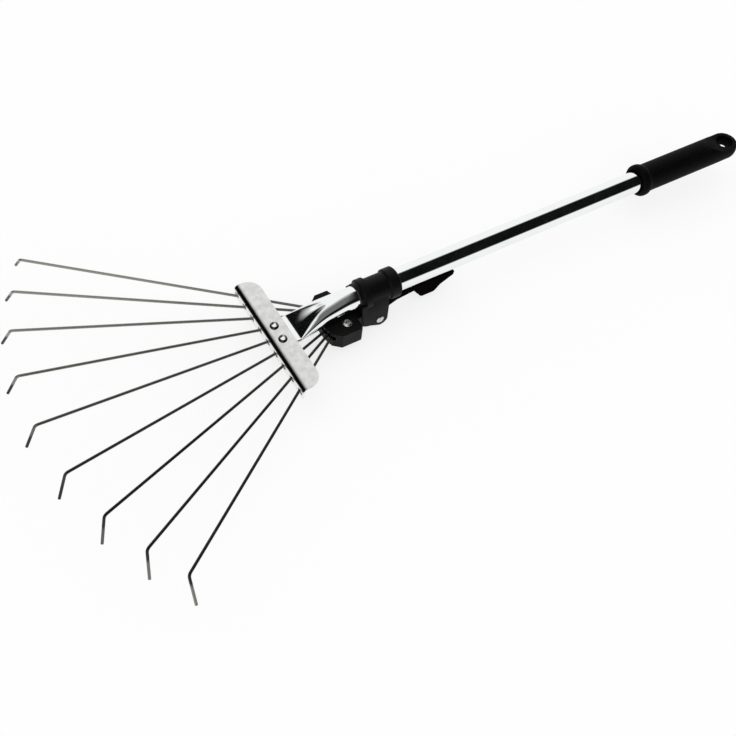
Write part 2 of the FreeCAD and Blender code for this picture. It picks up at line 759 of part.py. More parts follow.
def make_lever():
    """Cam head on the pin, arm back along the tube, thumb tab. Closed, its cam is up.

    Its own frame has its origin on the cam pin's axis.
    """
    body = new_body("cam_lever")
    place(body, "slider_place + pin_station", "0", "-pin_depth")
    crest = "pin_depth - cam_top"
    arm_top = "pin_depth + arm_level - lever_gap"
    sleeve_end = "sleeve_length - pin_station"
    tab_top = "pin_depth - tube_radius - tab_clear"
    foot = "%s - thumb_depth" % tab_top
    thumb_end = "thumb_station + thumb_length"

    head = new_sketch(body, "cam_section", "XZ_Plane")
    circle(head, "0", "cam_throw", "cam_radius")
    pad(body, "cam_head", head, "2*lever_half_width", both_ways=True)

    heel = new_sketch(body, "cam_heel_section", "XZ_Plane")
    outline(heel, [("-2*cam_radius", "-cam_heel"), ("2*cam_radius", "-cam_heel"),
                   ("2*cam_radius", "-2*cam_radius"), ("-2*cam_radius", "-2*cam_radius")])
    pocket(body, "cam_heel_cut", heel, "4*lever_half_width", both_ways=True)

    arm = new_sketch(body, "arm_section", "XZ_Plane")
    outline(arm, [("0", crest), ("shoe_reach", crest), (sleeve_end, arm_top),
                  ("tab_station", tab_top), ("lever_reach", tab_top),
                  ("lever_reach - 0.2*tab_tip", "%s - tab_tip" % tab_top),
                  ("0.7*(%s) + 0.3*lever_reach" % thumb_end, "%s - 0.62*thumb_depth" % tab_top),
                  (thumb_end, foot), ("thumb_station", foot),
                  ("tab_station", "%s - arm_thick" % tab_top),
                  (sleeve_end, "%s - 1.25*arm_thick" % arm_top),
                  ("0.65*cam_radius", "0"), ("0", "0")])
    blank = pad(body, "arm", arm, "2*lever_half_width", both_ways=True)
    round_edges(
        body, "thumb_rounding", blank, "thumb_round",
        lambda edge, at: along(edge, 1) and near(at.z, foot))

    bore = new_sketch(body, "lever_bore_section", "XZ_Plane")
    circle(bore, "0", "0", "pin_radius + lever_fit")
    pocket(body, "lever_bore", bore, "4*lever_half_width", both_ways=True)
    return body


def make_pin():
    """Headed cam pin across the cheeks, with a groove for its clip. Its own axis is Y."""
    body = new_body("cam_pin")
    place(body, "slider_place + pin_station", "0", "-pin_depth")
    section = new_sketch(body, "pin_section", "XY_Plane")
    groove_end = "pin_shank + clip_thick"
    end = "%s + pin_end" % groove_end
    head = "-(cheek_half_width + pin_head_rise)"
    outline(section, [("0", head), ("0.7*pin_head", head),
                      ("pin_head", "-(cheek_half_width + 0.4*pin_head_rise)"),
                      ("pin_head", "-cheek_half_width"), ("pin_radius", "-cheek_half_width"),
                      ("pin_radius", "pin_shank"), ("pin_groove", "pin_shank"),
                      ("pin_groove", groove_end), ("pin_radius", groove_end),
                      ("pin_radius", end), ("0", end)])
    revolve(body, "pin_turned", section, "V_Axis")
    return body


def make_clip():
    """Open retaining ring in the pin's groove."""
    turned = "rotation(0; 0; -90)"
    ring = doc.addObject("Part::Cylinder", "clip_ring")
    ring.setExpression("Radius", bind("clip_radius"))
    ring.setExpression("Height", bind("clip_thick"))
    hole = doc.addObject("Part::Cylinder", "clip_hole")
    hole.setExpression("Radius", bind("pin_groove + fixed_fit"))
    hole.setExpression("Height", bind("clip_thick"))
    mouth = doc.addObject("Part::Box", "clip_mouth")
    mouth.setExpression("Length", bind("1.5*pin_groove"))
    mouth.setExpression("Width", bind("2*clip_radius"))
    mouth.setExpression("Height", bind("clip_thick"))
    place(mouth, "-0.75*pin_groove")
    holed = doc.addObject("Part::Cut", "clip_holed")
    holed.Base = ring
    holed.Tool = hole
    clip = doc.addObject("Part::Cut", "pin_clip")
    clip.Label = "pin_clip"
    clip.Base = holed
    clip.Tool = mouth
    place(clip, "slider_place + pin_station", "pin_shank", "-pin_depth", turned)
    doc.recompute()
    return clip


def make_shoe():
    """Brake shoe in the window under the sleeve, between the cam and the tube."""
    body = new_body("brake_shoe")
    place(body, "slider_place")
    plan = new_sketch(body, "shoe_plan", "XY_Plane", "shoe_gap - cam_top")
    outline(plan, [("gap_front + lever_gap", "lever_half_width"),
                   ("window_rear - lever_gap", "lever_half_width"),
                   ("window_rear - lever_gap", "-lever_half_width"),
                   ("gap_front + lever_gap", "-lever_half_width")])
    pad(body, "shoe_block", plan, "cam_top - shoe_gap - tube_radius + shoe_side")
    hollow = new_sketch(body, "shoe_hollow_section", "YZ_Plane")
    circle(hollow, "0", "0", "tube_radius + shoe_gap")
    pocket(body, "shoe_hollow", hollow, "2*sleeve_length", forwards=True)
    return body


# Tines.

def make_tine(tine):
    """Round wire: a peg that sits in the holder, a straight run and a bent-down tip.

    In its own frame the run lies along -X from the peg's corner at the origin, and +Z is up.
    """
    step = tine - MIDDLE
    body = new_body("tine_%d" % tine)
    spread = "%d*fan_step" % step
    yaw = "-atan(%s/fan_reach)" % spread
    pitch = "atan(fan_rise/sqrt(fan_reach^2 + (%s)^2))" % spread
    place(body, "slider_place - root_setback", "%d*root_pitch" % step, "-root_depth",
          "rotation(%s; %s; 0)" % (yaw, pitch))
    run_end = "-(tine_run - tip_bend*tan(tip_angle/2))"

    root_path = new_sketch(body, "tine_%d_root_path" % tine, "XZ_Plane")
    lean = number(pitch)
    bend = number("peg_bend")
    reach = bend * math.tan(math.radians(90 - lean) / 2)
    foot = ("peg_length*sin(%s)" % pitch, "-peg_length*cos(%s)" % pitch)
    peg_top = FreeCAD.Vector(math.sin(math.radians(lean)), -math.cos(math.radians(lean)), 0) * reach
    run_start = FreeCAD.Vector(-reach, 0, 0)
    below = FreeCAD.Vector(0, -bend, 0)
    peg = root_path.addGeometry(Part.LineSegment(point(*foot), peg_top))
    corner = root_path.addGeometry(arc_shape(run_start + below, bend, lean, 90))
    run = root_path.addGeometry(Part.LineSegment(run_start, point(run_end, "0")))
    root_path.addConstraint(Sketcher.Constraint("Tangent", peg, 2, corner, 1))
    root_path.addConstraint(Sketcher.Constraint("Tangent", corner, 2, run, 1))
    root_path.addConstraint(Sketcher.Constraint("Horizontal", run))
    root_path.addConstraint(Sketcher.Constraint("PointOnObject", -1, 1, peg))
    fix_point(root_path, peg, 1, *foot)
    fix_point(root_path, run, 2, run_end, "0")
    fix_value(root_path, Sketcher.Constraint("Radius", corner, bend), "peg_bend")

    wire = new_sketch(body, "tine_%d_wire" % tine, "YZ_Plane", run_end)
    circle(wire, "0", "0", "tine_radius")
    pipe(body, "tine_%d_run" % tine, wire, root_path, 3)

    tip_path = new_sketch(body, "tine_%d_tip_path" % tine, "XZ_Plane", "0",
                          "%d*tip_splay" % step)
    turn = math.radians(number("tip_angle"))
    bend = number("tip_bend")
    end = ("-(tine_run + tip_length*cos(tip_angle))", "-tip_length*sin(tip_angle)")
    arc_start = point(run_end, "0")
    arc_end = arc_start + FreeCAD.Vector(-math.sin(turn), math.cos(turn) - 1, 0) * bend
    centre = arc_start + FreeCAD.Vector(0, -bend, 0)
    corner = tip_path.addGeometry(arc_shape(centre, bend, 90, 90 + math.degrees(turn)))
    tip = tip_path.addGeometry(Part.LineSegment(arc_end, point(*end)))
    tip_path.addConstraint(Sketcher.Constraint("Tangent", corner, 2, tip, 1))
    fix_point(tip_path, corner, 1, run_end, "0")
    fix_point(tip_path, corner, 3, run_end, "-tip_bend")
    fix_point(tip_path, tip, 2, *end)
    pipe(body, "tine_%d_tip" % tine, wire, tip_path, 2)
    return body


def check_document():
    doc.recompute()
    for item in doc.Objects:
        if "Invalid" in item.State or "Error" in item.State:
            raise RuntimeError("%s did not compute: %s" % (item.Name, item.State))


def write_parts(nodes):
    os.makedirs("parts", exist_ok=True)
    for node in nodes:
        shape = node.Shape
        if shape.isNull() or not shape.isValid():
            raise RuntimeError("%s has no valid shape" % node.Label)
        if not shape.Solids:
            raise RuntimeError("%s is not solid" % node.Label)
    for node in nodes:
        node.Shape.exportStep("parts/%s.step" % node.Label)


fill_sheet()
nodes = [make_tube(), make_comb(), make_rivets(), make_grip()]
nodes += [make_slider(), make_base(), make_screws(), make_nuts()]
nodes += [make_lever(), make_pin(), make_clip(), make_shoe()]
nodes += [make_tine(tine) for tine in range(1, TINES + 1)]
check_document()
write_parts(nodes)
for node in nodes:
    box = node.Shape.BoundBox
    print("%-14s %d solid(s) %10.1f mm3   x %7.1f %7.1f   y %7.1f %7.1f   z %6.1f %6.1f" % (
        node.Label, len(node.Shape.Solids), node.Shape.Volume,
        box.XMin, box.XMax, box.YMin, box.YMax, box.ZMin, box.ZMax))
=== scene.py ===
# %% [markdown]
# # An expanding leaf rake
# A short garden rake: nine bent wires fan out from a moulded holder that slides on a chromed
# tube, and pass through a slotted sheet-metal comb. The measured solids come in as a fixed
# frame. They could be shown as they are, but their edges are mathematically sharp and their
# round faces are facets. So this lesson models each visible piece again, with the softened
# edges and the surface that the real one has, in exactly the same place.

# %% Load the frame
import json
import math

import bmesh
import bpy
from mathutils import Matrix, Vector


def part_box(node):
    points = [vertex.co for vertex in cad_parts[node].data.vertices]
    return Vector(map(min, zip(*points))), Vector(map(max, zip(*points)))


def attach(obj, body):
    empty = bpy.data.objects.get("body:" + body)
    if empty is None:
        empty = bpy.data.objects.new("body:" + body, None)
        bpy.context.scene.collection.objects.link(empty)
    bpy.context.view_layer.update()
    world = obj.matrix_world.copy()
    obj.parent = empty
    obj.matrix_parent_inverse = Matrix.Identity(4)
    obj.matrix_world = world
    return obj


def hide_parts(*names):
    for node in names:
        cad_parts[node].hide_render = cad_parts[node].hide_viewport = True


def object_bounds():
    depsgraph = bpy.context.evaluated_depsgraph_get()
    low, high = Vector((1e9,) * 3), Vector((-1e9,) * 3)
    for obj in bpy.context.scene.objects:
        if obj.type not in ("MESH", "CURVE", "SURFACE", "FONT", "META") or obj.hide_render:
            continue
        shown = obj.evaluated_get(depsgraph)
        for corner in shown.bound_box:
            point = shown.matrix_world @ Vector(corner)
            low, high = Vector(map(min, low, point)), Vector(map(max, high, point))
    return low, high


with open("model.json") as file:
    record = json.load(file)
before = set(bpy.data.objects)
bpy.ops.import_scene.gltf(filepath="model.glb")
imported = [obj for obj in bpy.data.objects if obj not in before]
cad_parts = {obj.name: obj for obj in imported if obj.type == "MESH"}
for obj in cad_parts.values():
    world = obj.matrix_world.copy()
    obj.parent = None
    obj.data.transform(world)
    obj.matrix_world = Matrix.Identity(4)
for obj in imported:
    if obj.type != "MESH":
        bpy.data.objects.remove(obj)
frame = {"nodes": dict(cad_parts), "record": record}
nodes = frame["nodes"]
cad_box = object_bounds()
MM = 0.001
print("solids to dress:", len(nodes))

# %% [markdown]
# ## The camera
# The rake lies with its tines to the left and its grip away to the right, seen from above the
# near side. A wide lens close by would make the near tines look huge. A moderate telephoto lens
# from further off keeps the long handle in proportion.

# %% Camera
CAMERA_PLACE = (-0.819, -0.5348, 0.7891)
CAMERA_TURN = (35.74, -4.18, -30.64)  # degrees
LENS = 54.64  # focal length in millimetres
SENSOR = 36.0

camera_data = bpy.data.cameras.new("studio_camera")
camera_data.lens = LENS
camera_data.sensor_width = SENSOR
camera = bpy.data.objects.new("studio_camera", camera_data)
bpy.context.scene.collection.objects.link(camera)
camera.location = CAMERA_PLACE
camera.rotation_euler = [math.radians(angle) for angle in CAMERA_TURN]
bpy.context.scene.camera = camera
bpy.context.scene.view_settings.view_transform = "Standard"
print("camera at", CAMERA_PLACE)

# %% [markdown]
# ## Colours and nodes
# Colours are written as sRGB hex values, the way a paint chart gives them. The shader works in
# linear light, so one function turns them. A second one adds a node with its settings and
# links. Nodes could be added line by line, but a finish has a dozen of them, and one call for
# each keeps it short enough to read. Every finish starts and ends in the same way, so two more
# functions make its first node and its last ones.


# %% Colour and node helpers
def paint(hex_code):
    """Linear RGBA from an sRGB hex value such as 'c8c8c4'."""
    channels = [int(hex_code[i:i + 2], 16) / 255 for i in (0, 2, 4)]
    linear = [c / 12.92 if c <= 0.04045 else ((c + 0.055) / 1.055) ** 2.4 for c in channels]
    return (*linear, 1.0)


def add_node(tree, kind, inputs=None, **settings):
    """Adds a node, sets its properties, and sets or links its inputs by name or number.

    An input is a value, another node's output, or a node, which stands for its first output.
    """
    node = tree.nodes.new(kind)
    for name, value in settings.items():
        setattr(node, name, value)
    for name, value in (inputs or {}).items():
        if isinstance(value, bpy.types.Node):
            value = value.outputs[0]
        if isinstance(value, bpy.types.NodeSocket):
            tree.links.new(value, node.inputs[name])
        else:
            node.inputs[name].default_value = value
    return node


def new_material(name):
    """A material with an empty node tree, and the place on the object that patterns follow."""
    material = bpy.data.materials.new(name)
    material.use_nodes = True
    tree = material.node_tree
    tree.nodes.clear()
    place = add_node(tree, "ShaderNodeTexCoord").outputs["Object"]
    return material, tree, place


def finish_material(tree, inputs, height, depth_mm):
    """The surface shader with its fixed numbers on its own sockets, its bump and the output."""
    bump = add_node(tree, "ShaderNodeBump", {"Height": height, "Distance": depth_mm * MM})
    shader = add_node(tree, "ShaderNodeBsdfPrincipled", {**inputs, "Normal": bump})
    add_node(tree, "ShaderNodeOutputMaterial", {"Surface": shader})


def grains(size_mm):
    """Noise scale that makes one grain about so many millimetres, on coordinates in metres."""
    return 1 / (size_mm * MM)


COLOUR_A, COLOUR_B = 6, 7  # the Mix node's sockets for its two colours
COLOUR_OUT = 2  # and for the colour that it gives
NOISE_RANGE = {"From Min": 0.3, "From Max": 0.7}  # where most of a noise's values lie
print("mid grey, written 808080, is linear", round(paint("808080")[0], 4))

# %% [markdown]
# ## Finish 1: polished chrome plate
# The tube is drawn steel, polished, then plated with nickel and a thin bright chrome. It is
# a mirror: almost all that the eye sees on it is the room. It could be one metal of one
# roughness, but a perfect mirror looks like a computer drawing. So the roughness wanders a
# little, as buffing leaves it, and a faint orange-peel ripple a few millimetres long bends the
# edges of the reflections.

# %% Chrome
chrome, tree, place = new_material("polished_chrome_plate")
haze = add_node(tree, "ShaderNodeTexNoise", {"Vector": place, "Scale": grains(18)})
ripple = add_node(tree, "ShaderNodeTexNoise", {"Vector": place, "Scale": grains(7)})
plating = add_node(tree, "ShaderNodeMix", {
    0: haze, COLOUR_A: paint("eef1f0"), COLOUR_B: paint("f5f7f7")}, data_type="RGBA")
buffing = add_node(tree, "ShaderNodeMapRange", {
    "Value": haze, **NOISE_RANGE, "To Min": 0.045, "To Max": 0.085})
finish_material(tree, {
    "Base Color": plating.outputs[COLOUR_OUT],
    "Metallic": 1.0,
    "Roughness": buffing,
}, ripple, 0.012)
print("made", chrome.name)

# %% [markdown]
# ## Finish 2: zinc-plated sheet
# The comb is pressed from bright zinc-plated sheet. Its flat top reads as a pale, even grey
# with cloudy patches a few millimetres wide, the folded lip below as a paler, duller strip, and
# the fold between them as a dark line. The lip's paler colour is painted light, and the dark
# line is a painted reflection of dark surroundings in the bend; both stay in every view. What
# makes that line isn't known. It may be a reflection in the bend, which would move with the
# light.
# The three areas could be three materials on picked faces, but then their borders would be
# hard. So the height and the distance behind the front tell them apart. A wide noise clouds
# the top, and a fine noise makes the tooth of the rolled sheet.

# %% Zinc sheet
TOP_DROPS = (2.5 * MM, 0.5 * MM)  # below the top, from the lip's colour to the top's
FOLD_DROPS = (3.7 * MM, 2.7 * MM)  # below the top, from the lip to the fold
FOLD_REACHES = (5.4 * MM, 1.6 * MM)  # behind the front, from the flat top to the fold
LIP_DROPS = (2.8 * MM, 4.0 * MM)  # below the top, from the fold to the dull lip
LIP_ROUGHNESS = 0.5

zinc, tree, place = new_material("zinc_plated_sheet")
clouds = add_node(tree, "ShaderNodeTexNoise", {
    "Vector": place, "Scale": grains(6), "Detail": 4.0})
tooth = add_node(tree, "ShaderNodeTexNoise", {"Vector": place, "Scale": grains(0.9)})
split = add_node(tree, "ShaderNodeSeparateXYZ", {0: place})
(comb_front, _, _), (_, _, comb_top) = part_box("comb_plate")
flat_top = add_node(tree, "ShaderNodeMapRange", {
    "Value": split.outputs["Z"],
    "From Min": comb_top - TOP_DROPS[0], "From Max": comb_top - TOP_DROPS[1]})
patches = add_node(tree, "ShaderNodeMapRange", {
    "Value": clouds, "From Min": 0.35, "From Max": 0.65})
cloudy = add_node(tree, "ShaderNodeMix", {
    0: patches, COLOUR_A: paint("cdcdcb"), COLOUR_B: paint("dfdfdd")}, data_type="RGBA")
# Painted light: the lip below the top gets the paler colour fafafa.
plating = add_node(tree, "ShaderNodeMix", {
    0: flat_top, COLOUR_A: paint("fafafa"), COLOUR_B: cloudy.outputs[COLOUR_OUT]},
    data_type="RGBA")
# Painted reflection: a dark line along the fold, found by height and distance behind the front.
above_lip = add_node(tree, "ShaderNodeMapRange", {
    "Value": split.outputs["Z"],
    "From Min": comb_top - FOLD_DROPS[0], "From Max": comb_top - FOLD_DROPS[1]})
in_front = add_node(tree, "ShaderNodeMapRange", {
    "Value": split.outputs["X"],
    "From Min": comb_front + FOLD_REACHES[0], "From Max": comb_front + FOLD_REACHES[1]})
painted_fold_reflection = add_node(tree, "ShaderNodeMath", {0: above_lip, 1: in_front}, operation="MULTIPLY")
colour = add_node(tree, "ShaderNodeMix", {
    0: painted_fold_reflection, COLOUR_A: plating.outputs[COLOUR_OUT], COLOUR_B: paint("282828")},
    data_type="RGBA")
dull_lip = add_node(tree, "ShaderNodeMapRange", {
    "Value": split.outputs["Z"],
    "From Min": comb_top - LIP_DROPS[0], "From Max": comb_top - LIP_DROPS[1],
    "To Min": 0.0, "To Max": LIP_ROUGHNESS})
rolled = add_node(tree, "ShaderNodeMapRange", {
    "Value": clouds, **NOISE_RANGE, "To Min": 0.12, "To Max": 0.2})
roughness = add_node(tree, "ShaderNodeMath", {0: rolled, 1: dull_lip}, operation="MAXIMUM")
finish_material(tree, {
    "Base Color": colour.outputs[COLOUR_OUT],
    "Metallic": 1.0,
    "Roughness": roughness,
}, tooth, 0.01)
print("made", zinc.name, "with its fold behind", round(comb_front / MM, 1), "mm")

# %% [markdown]
# ## Finish 3: plated spring wire
# The tines are hard-drawn spring wire with a thin dark plating. Drawing leaves fine lines
# along the wire. They could be drawn as lines, but on an object that small the eye only sees a
# slightly warm grey metal with one soft highlight, so two noises vary the colour and the
# roughness in spots. The wires are not all one tone: the runs grow paler toward the far side,
# and the tips toward the near one. The real wires are probably alike, and the light makes the
# difference. The even light here can't, so the tones are painted on: a place across the rake
# sets them, and one finish serves all nine wires.

# %% Tine wire
RUN_TONES = (-65 * MM, 110 * MM)  # across the rake, from dark runs to pale ones
TIP_TONES = (-60 * MM, -190 * MM)  # across the rake, from dark tips to pale ones
PALEST_TIP = 0.8  # share of the pale tone on the palest tip
TIP_RISES = (19.5 * MM, 16.5 * MM)  # above the tips' ends, from run to tip
TIP_REACHES = (125 * MM, 135 * MM)  # before the comb, from run to tip

wire, tree, place = new_material("plated_spring_wire")
spots = add_node(tree, "ShaderNodeTexNoise", {
    "Vector": place, "Scale": grains(4), "Detail": 3.0})
scratches = add_node(tree, "ShaderNodeTexNoise", {"Vector": place, "Scale": grains(0.5)})
split = add_node(tree, "ShaderNodeSeparateXYZ", {0: place})
# Painted light and shade: runs and tips grow darker or paler by their place across the rake.
run_tone = add_node(tree, "ShaderNodeMapRange", {
    "Value": split.outputs["Y"], "From Min": RUN_TONES[0], "From Max": RUN_TONES[1]})
tip_tone = add_node(tree, "ShaderNodeMapRange", {
    "Value": split.outputs["Y"], "From Min": TIP_TONES[0], "From Max": TIP_TONES[1],
    "To Min": 0.0, "To Max": PALEST_TIP})
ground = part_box("tine_5")[0][2]
low_down = add_node(tree, "ShaderNodeMapRange", {
    "Value": split.outputs["Z"],
    "From Min": ground + TIP_RISES[0], "From Max": ground + TIP_RISES[1]})
far_out = add_node(tree, "ShaderNodeMapRange", {
    "Value": split.outputs["X"],
    "From Min": comb_front - TIP_REACHES[0], "From Max": comb_front - TIP_REACHES[1]})
on_tip = add_node(tree, "ShaderNodeMath", {0: low_down, 1: far_out}, operation="MULTIPLY")
tone = add_node(tree, "ShaderNodeMix", {0: on_tip, 2: run_tone, 3: tip_tone})
# The dark colour is painted shade on the wire, and the pale one is painted light on it.
shaded_wire_colour = add_node(tree, "ShaderNodeMix", {
    0: spots, COLOUR_A: paint("2b2826"), COLOUR_B: paint("454240")}, data_type="RGBA")
lit_wire_colour = add_node(tree, "ShaderNodeMix", {
    0: spots, COLOUR_A: paint("8b8883"), COLOUR_B: paint("a7a49f")}, data_type="RGBA")
colour = add_node(tree, "ShaderNodeMix", {
    0: tone, COLOUR_A: shaded_wire_colour.outputs[COLOUR_OUT],
    COLOUR_B: lit_wire_colour.outputs[COLOUR_OUT]}, data_type="RGBA")
roughness = add_node(tree, "ShaderNodeMapRange", {
    "Value": spots, **NOISE_RANGE, "To Min": 0.3, "To Max": 0.45})
finish_material(tree, {
    "Base Color": colour.outputs[COLOUR_OUT],
    "Metallic": 1.0,
    "Roughness": roughness,
}, scratches, 0.01)
print("made", wire.name, "for tips that end at", round(ground / MM, 1), "mm")

# %% [markdown]
# ## Finish 4: bright rivets
# The rivets are smooth plated steel that reads as a dark ring with a bright middle. Here it is
# painted on. The dark ring is a painted reflection of dark surroundings on the domed head, so
# it doesn't move with the light. On a domed mirror such a ring may well be a reflection. The
# ring could be a second material on picked faces. The distance from the rivet's middle is used
# instead, because it fades softly. Both rivets lie mirrored about the tube, so the place is
# folded over with its absolute value, and one middle serves them both.

# %% Rivet steel
DARK_RING = (0.5, 0.7)  # in head radii, from bright to dark

rivet_low, rivet_high = [Vector(corner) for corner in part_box("comb_rivets")]
head_radius = (rivet_high.x - rivet_low.x) / 2
rivet_x = (rivet_low.x + rivet_high.x) / 2
rivet_y = (rivet_high.y - rivet_low.y) / 2 - head_radius

bright_steel, tree, place = new_material("bright_rivet_steel")
folded = add_node(tree, "ShaderNodeVectorMath", {0: place}, operation="ABSOLUTE")
offset = add_node(tree, "ShaderNodeVectorMath", {0: folded, 1: (-rivet_x, rivet_y, 0)},
                  operation="SUBTRACT")
level = add_node(tree, "ShaderNodeVectorMath", {0: offset, 1: (1, 1, 0)}, operation="MULTIPLY")
radius = add_node(tree, "ShaderNodeVectorMath", {0: level}, operation="LENGTH")
# Painted reflection: a dark ring on the head, by distance from the rivet's middle.
painted_ring_reflection = add_node(tree, "ShaderNodeMapRange", {
    "Value": radius.outputs["Value"],
    "From Min": DARK_RING[0] * head_radius, "From Max": DARK_RING[1] * head_radius})
colour = add_node(tree, "ShaderNodeMix", {
    0: painted_ring_reflection, COLOUR_A: paint("f2f3f4"), COLOUR_B: paint("3c3c3c")}, data_type="RGBA")
clouds = add_node(tree, "ShaderNodeTexNoise", {"Vector": place, "Scale": grains(3)})
roughness = add_node(tree, "ShaderNodeMapRange", {
    "Value": clouds, **NOISE_RANGE, "To Min": 0.08, "To Max": 0.16})
finish_material(tree, {
    "Base Color": colour.outputs[COLOUR_OUT],
    "Metallic": 1.0,
    "Roughness": roughness,
}, clouds, 0.01)
print("made", bright_steel.name, "for heads of radius", round(head_radius / MM, 2), "mm")

# %% [markdown]
# ## Finish 5: small steel parts
# Screws, nuts and the cam pin are zinc plated: bright, but a little duller than the rivets
# and softly clouded. The retaining clip is oiled spring steel, so it is dark. Two separate
# finishes could be written, but only the colours and the roughness differ, so one function
# makes both. Clouds 2 mm wide vary the shine, and fine pits break up the highlights.


# %% Fastener metals
def fastener_metal(name, dark, light, smooth, rough):
    """Clouded and finely pitted metal, between two paints and two roughnesses."""
    material, tree, place = new_material(name)
    clouds = add_node(tree, "ShaderNodeTexNoise", {"Vector": place, "Scale": grains(2)})
    pits = add_node(tree, "ShaderNodeTexNoise", {"Vector": place, "Scale": grains(0.4)})
    colour = add_node(tree, "ShaderNodeMix", {
        0: clouds, COLOUR_A: paint(dark), COLOUR_B: paint(light)}, data_type="RGBA")
    roughness = add_node(tree, "ShaderNodeMapRange", {
        "Value": clouds, **NOISE_RANGE, "To Min": smooth, "To Max": rough})
    finish_material(tree, {
        "Base Color": colour.outputs[COLOUR_OUT],
        "Metallic": 1.0,
        "Roughness": roughness,
    }, pits, 0.006)
    return material


zinc_fastener = fastener_metal("zinc_plated_fastener", "c2c2c0", "dededc", 0.22, 0.36)
spring_steel = fastener_metal("oiled_spring_steel", "4a4a4c", "6a6a6c", 0.25, 0.4)
print("made", zinc_fastener.name, "and", spring_steel.name)

# %% [markdown]
# ## Finish 6: black glass-filled nylon
# Slider, holder and lever are moulded in black nylon, filled with short glass fibre. The mould
# is sparked to a fine matt grain, so the faces are a deep black with a broad, weak sheen. A
# plain black would show nothing of the moulding, so the colour and the roughness follow the
# wide, faint flow of the melt. A grain of that kind is about 0.1 mm; it is drawn as 0.35 mm so
# that it still shows in a render. Real nylon mirrors more than this one does: the specular
# level is set low, and to nil on the lever, because bright surroundings turn the black grey.


# %% Moulded nylon
def black_nylon(name, specular):
    """Matt moulded nylon with so much mirror reflection."""
    material, tree, place = new_material(name)
    flow = add_node(tree, "ShaderNodeTexNoise", {
        "Vector": place, "Scale": grains(14), "Detail": 3.0})
    grain = add_node(tree, "ShaderNodeTexNoise", {
        "Vector": place, "Scale": grains(0.35), "Detail": 2.0})
    colour = add_node(tree, "ShaderNodeMix", {
        0: flow, COLOUR_A: paint("060505"), COLOUR_B: paint("0e0c0b")}, data_type="RGBA")
    roughness = add_node(tree, "ShaderNodeMapRange", {
        "Value": flow, **NOISE_RANGE, "To Min": 0.4, "To Max": 0.52})
    finish_material(tree, {
        "Base Color": colour.outputs[COLOUR_OUT],
        "Roughness": roughness,
        "IOR": 1.53,
        "Specular IOR Level": specular,
    }, grain, 0.03)
    return material


slider_nylon = black_nylon("black_glass_filled_nylon", 0.1)
lever_nylon = black_nylon("black_matt_nylon", 0.0)
print("made", slider_nylon.name, "and", lever_nylon.name)

# %% [markdown]
# ## Finish 7: soft grip rubber
# The grip is moulded thermoplastic rubber with a pebbled grain for the hand. It is blacker and
# duller than the nylon, and its specular level is lowered for the same reason. Pebbles could
# be modelled, but at 0.9 mm across they are too many and too shallow to need it, so a Voronoi
# pattern raises them as a bump. A noise greys and roughens the black a little here and there,
# so that it isn't one flat tone.

# %% Grip rubber
rubber, tree, place = new_material("pebbled_grip_rubber")
pebbles = add_node(tree, "ShaderNodeTexVoronoi", {"Vector": place, "Scale": grains(0.9)})
mottle = add_node(tree, "ShaderNodeTexNoise", {
    "Vector": place, "Scale": grains(1.6), "Detail": 3.0})
mottled = add_node(tree, "ShaderNodeMapRange", {"Value": mottle, "From Min": 0.5, "From Max": 0.8})
colour = add_node(tree, "ShaderNodeMix", {
    0: mottled, COLOUR_A: paint("030303"), COLOUR_B: paint("111111")}, data_type="RGBA")
roughness = add_node(tree, "ShaderNodeMapRange", {
    "Value": mottle, **NOISE_RANGE, "To Min": 0.55, "To Max": 0.72})
finish_material(tree, {
    "Base Color": colour.outputs[COLOUR_OUT],
    "Roughness": roughness,
    "IOR": 1.5,
    "Specular IOR Level": 0.06,
}, pebbles, 0.12)
print("made", rubber.name)

# %% [markdown]
# ## Finish 8: brake rubber
# The brake shoe is a block of harder, greyer rubber that is cut from sheet, so it has a fine
# even grain and no gloss. The grip's rubber could serve, but its pebbles come from a mould that
# this block never saw, so it gets one plain noise of its own.

# %% Brake rubber
brake, tree, place = new_material("brake_block_rubber")
grain = add_node(tree, "ShaderNodeTexNoise", {
    "Vector": place, "Scale": grains(0.6), "Detail": 3.0})
colour = add_node(tree, "ShaderNodeMix", {
    0: grain, COLOUR_A: paint("26262a"), COLOUR_B: paint("3a3a3c")}, data_type="RGBA")
roughness = add_node(tree, "ShaderNodeMapRange", {
    "Value": grain, **NOISE_RANGE, "To Min": 0.75, "To Max": 0.9})
finish_material(tree, {
    "Base Color": colour.outputs[COLOUR_OUT],
    "Roughness": roughness,
    "IOR": 1.5,
    "Specular IOR Level": 0.3,
}, grain, 0.05)
print("made", brake.name)

# %% [markdown]
# ## Which finish goes where
# Each solid names a slot for its finish and belongs to a moving body. Both could be typed out
# again for every piece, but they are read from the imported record, so they can't disagree with
# it. Only the lever has a finish of its own within its slot.

# %% Slots and bodies
FINISHES = {
    "chrome_tube": chrome,
    "zinc_sheet": zinc,
    "tine_wire": wire,
    "rivet_steel": bright_steel,
    "black_nylon": slider_nylon,
    "grip_rubber": rubber,
    "zinc_fastener": zinc_fastener,
    "spring_steel": spring_steel,
    "shoe_rubber": brake,
}
OWN_FINISHES = {"cam_lever": lever_nylon}
slots = {entry["node"]: entry["material_slot"] for entry in frame["record"]["subparts"]}
bodies = {entry: body for body, members in frame["record"]["behaviour"]["bodies"].items()
          for entry in members}
print("finishes:", ", ".join(material.name for material in FINISHES.values()))

# %% [markdown]
# ## How the pieces are modelled
# Two ways are used. A piece whose solid already has the right shape, such as the folded comb
# or the slider, is copied, its loose triangles are merged, and its edges get the small
# radius that moulding, pressing or tumbling gives the real one. A piece that has to be
# smooth all over, such as the chromed tube, the grip and the rivets, is modelled afresh,
# because a mirror shows every facet.


